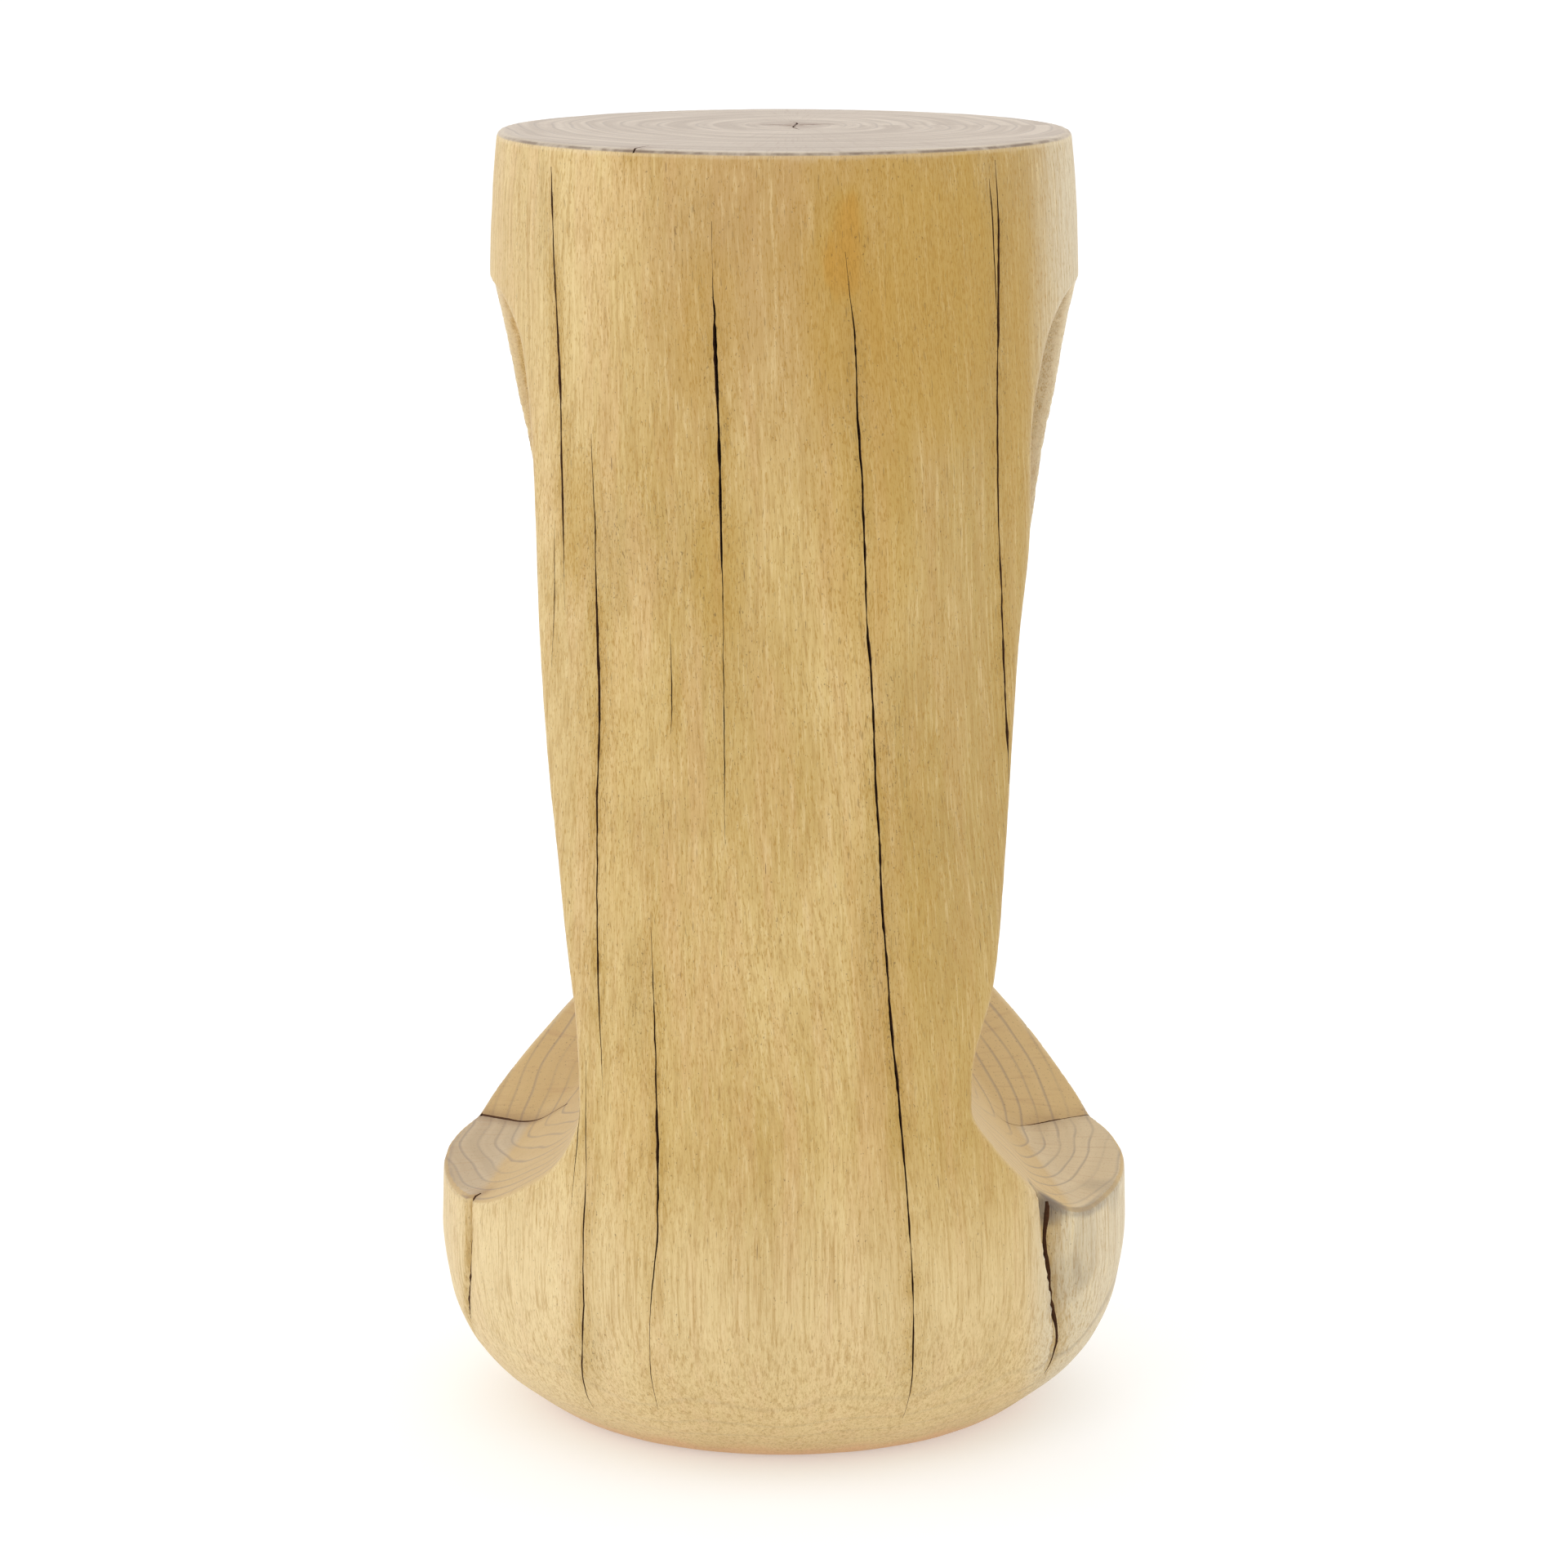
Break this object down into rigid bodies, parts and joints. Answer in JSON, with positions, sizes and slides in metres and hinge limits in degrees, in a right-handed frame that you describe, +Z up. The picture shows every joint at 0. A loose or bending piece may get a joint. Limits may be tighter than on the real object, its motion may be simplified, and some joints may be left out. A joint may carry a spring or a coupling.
{
  "type": "fertility figure stool",
  "caption": "Log carved as a crouching fertility figure, arms reaching down to the knees, with a flat round end-grain crown that serves as a seat.",
  "frame": {"origin": "on the floor, under the middle of the figure", "axes": "+Z up along the log, -Y the way the figure faces, +X to the figure's left"},
  "size_m": [0.249, 0.249, 0.457],
  "materials": {
    "wood": "smooth sanded, pale, with open drying checks"
  },
  "bodies": {
    "root": {"carved_log": "wood"}
  },
  "joints": []
}
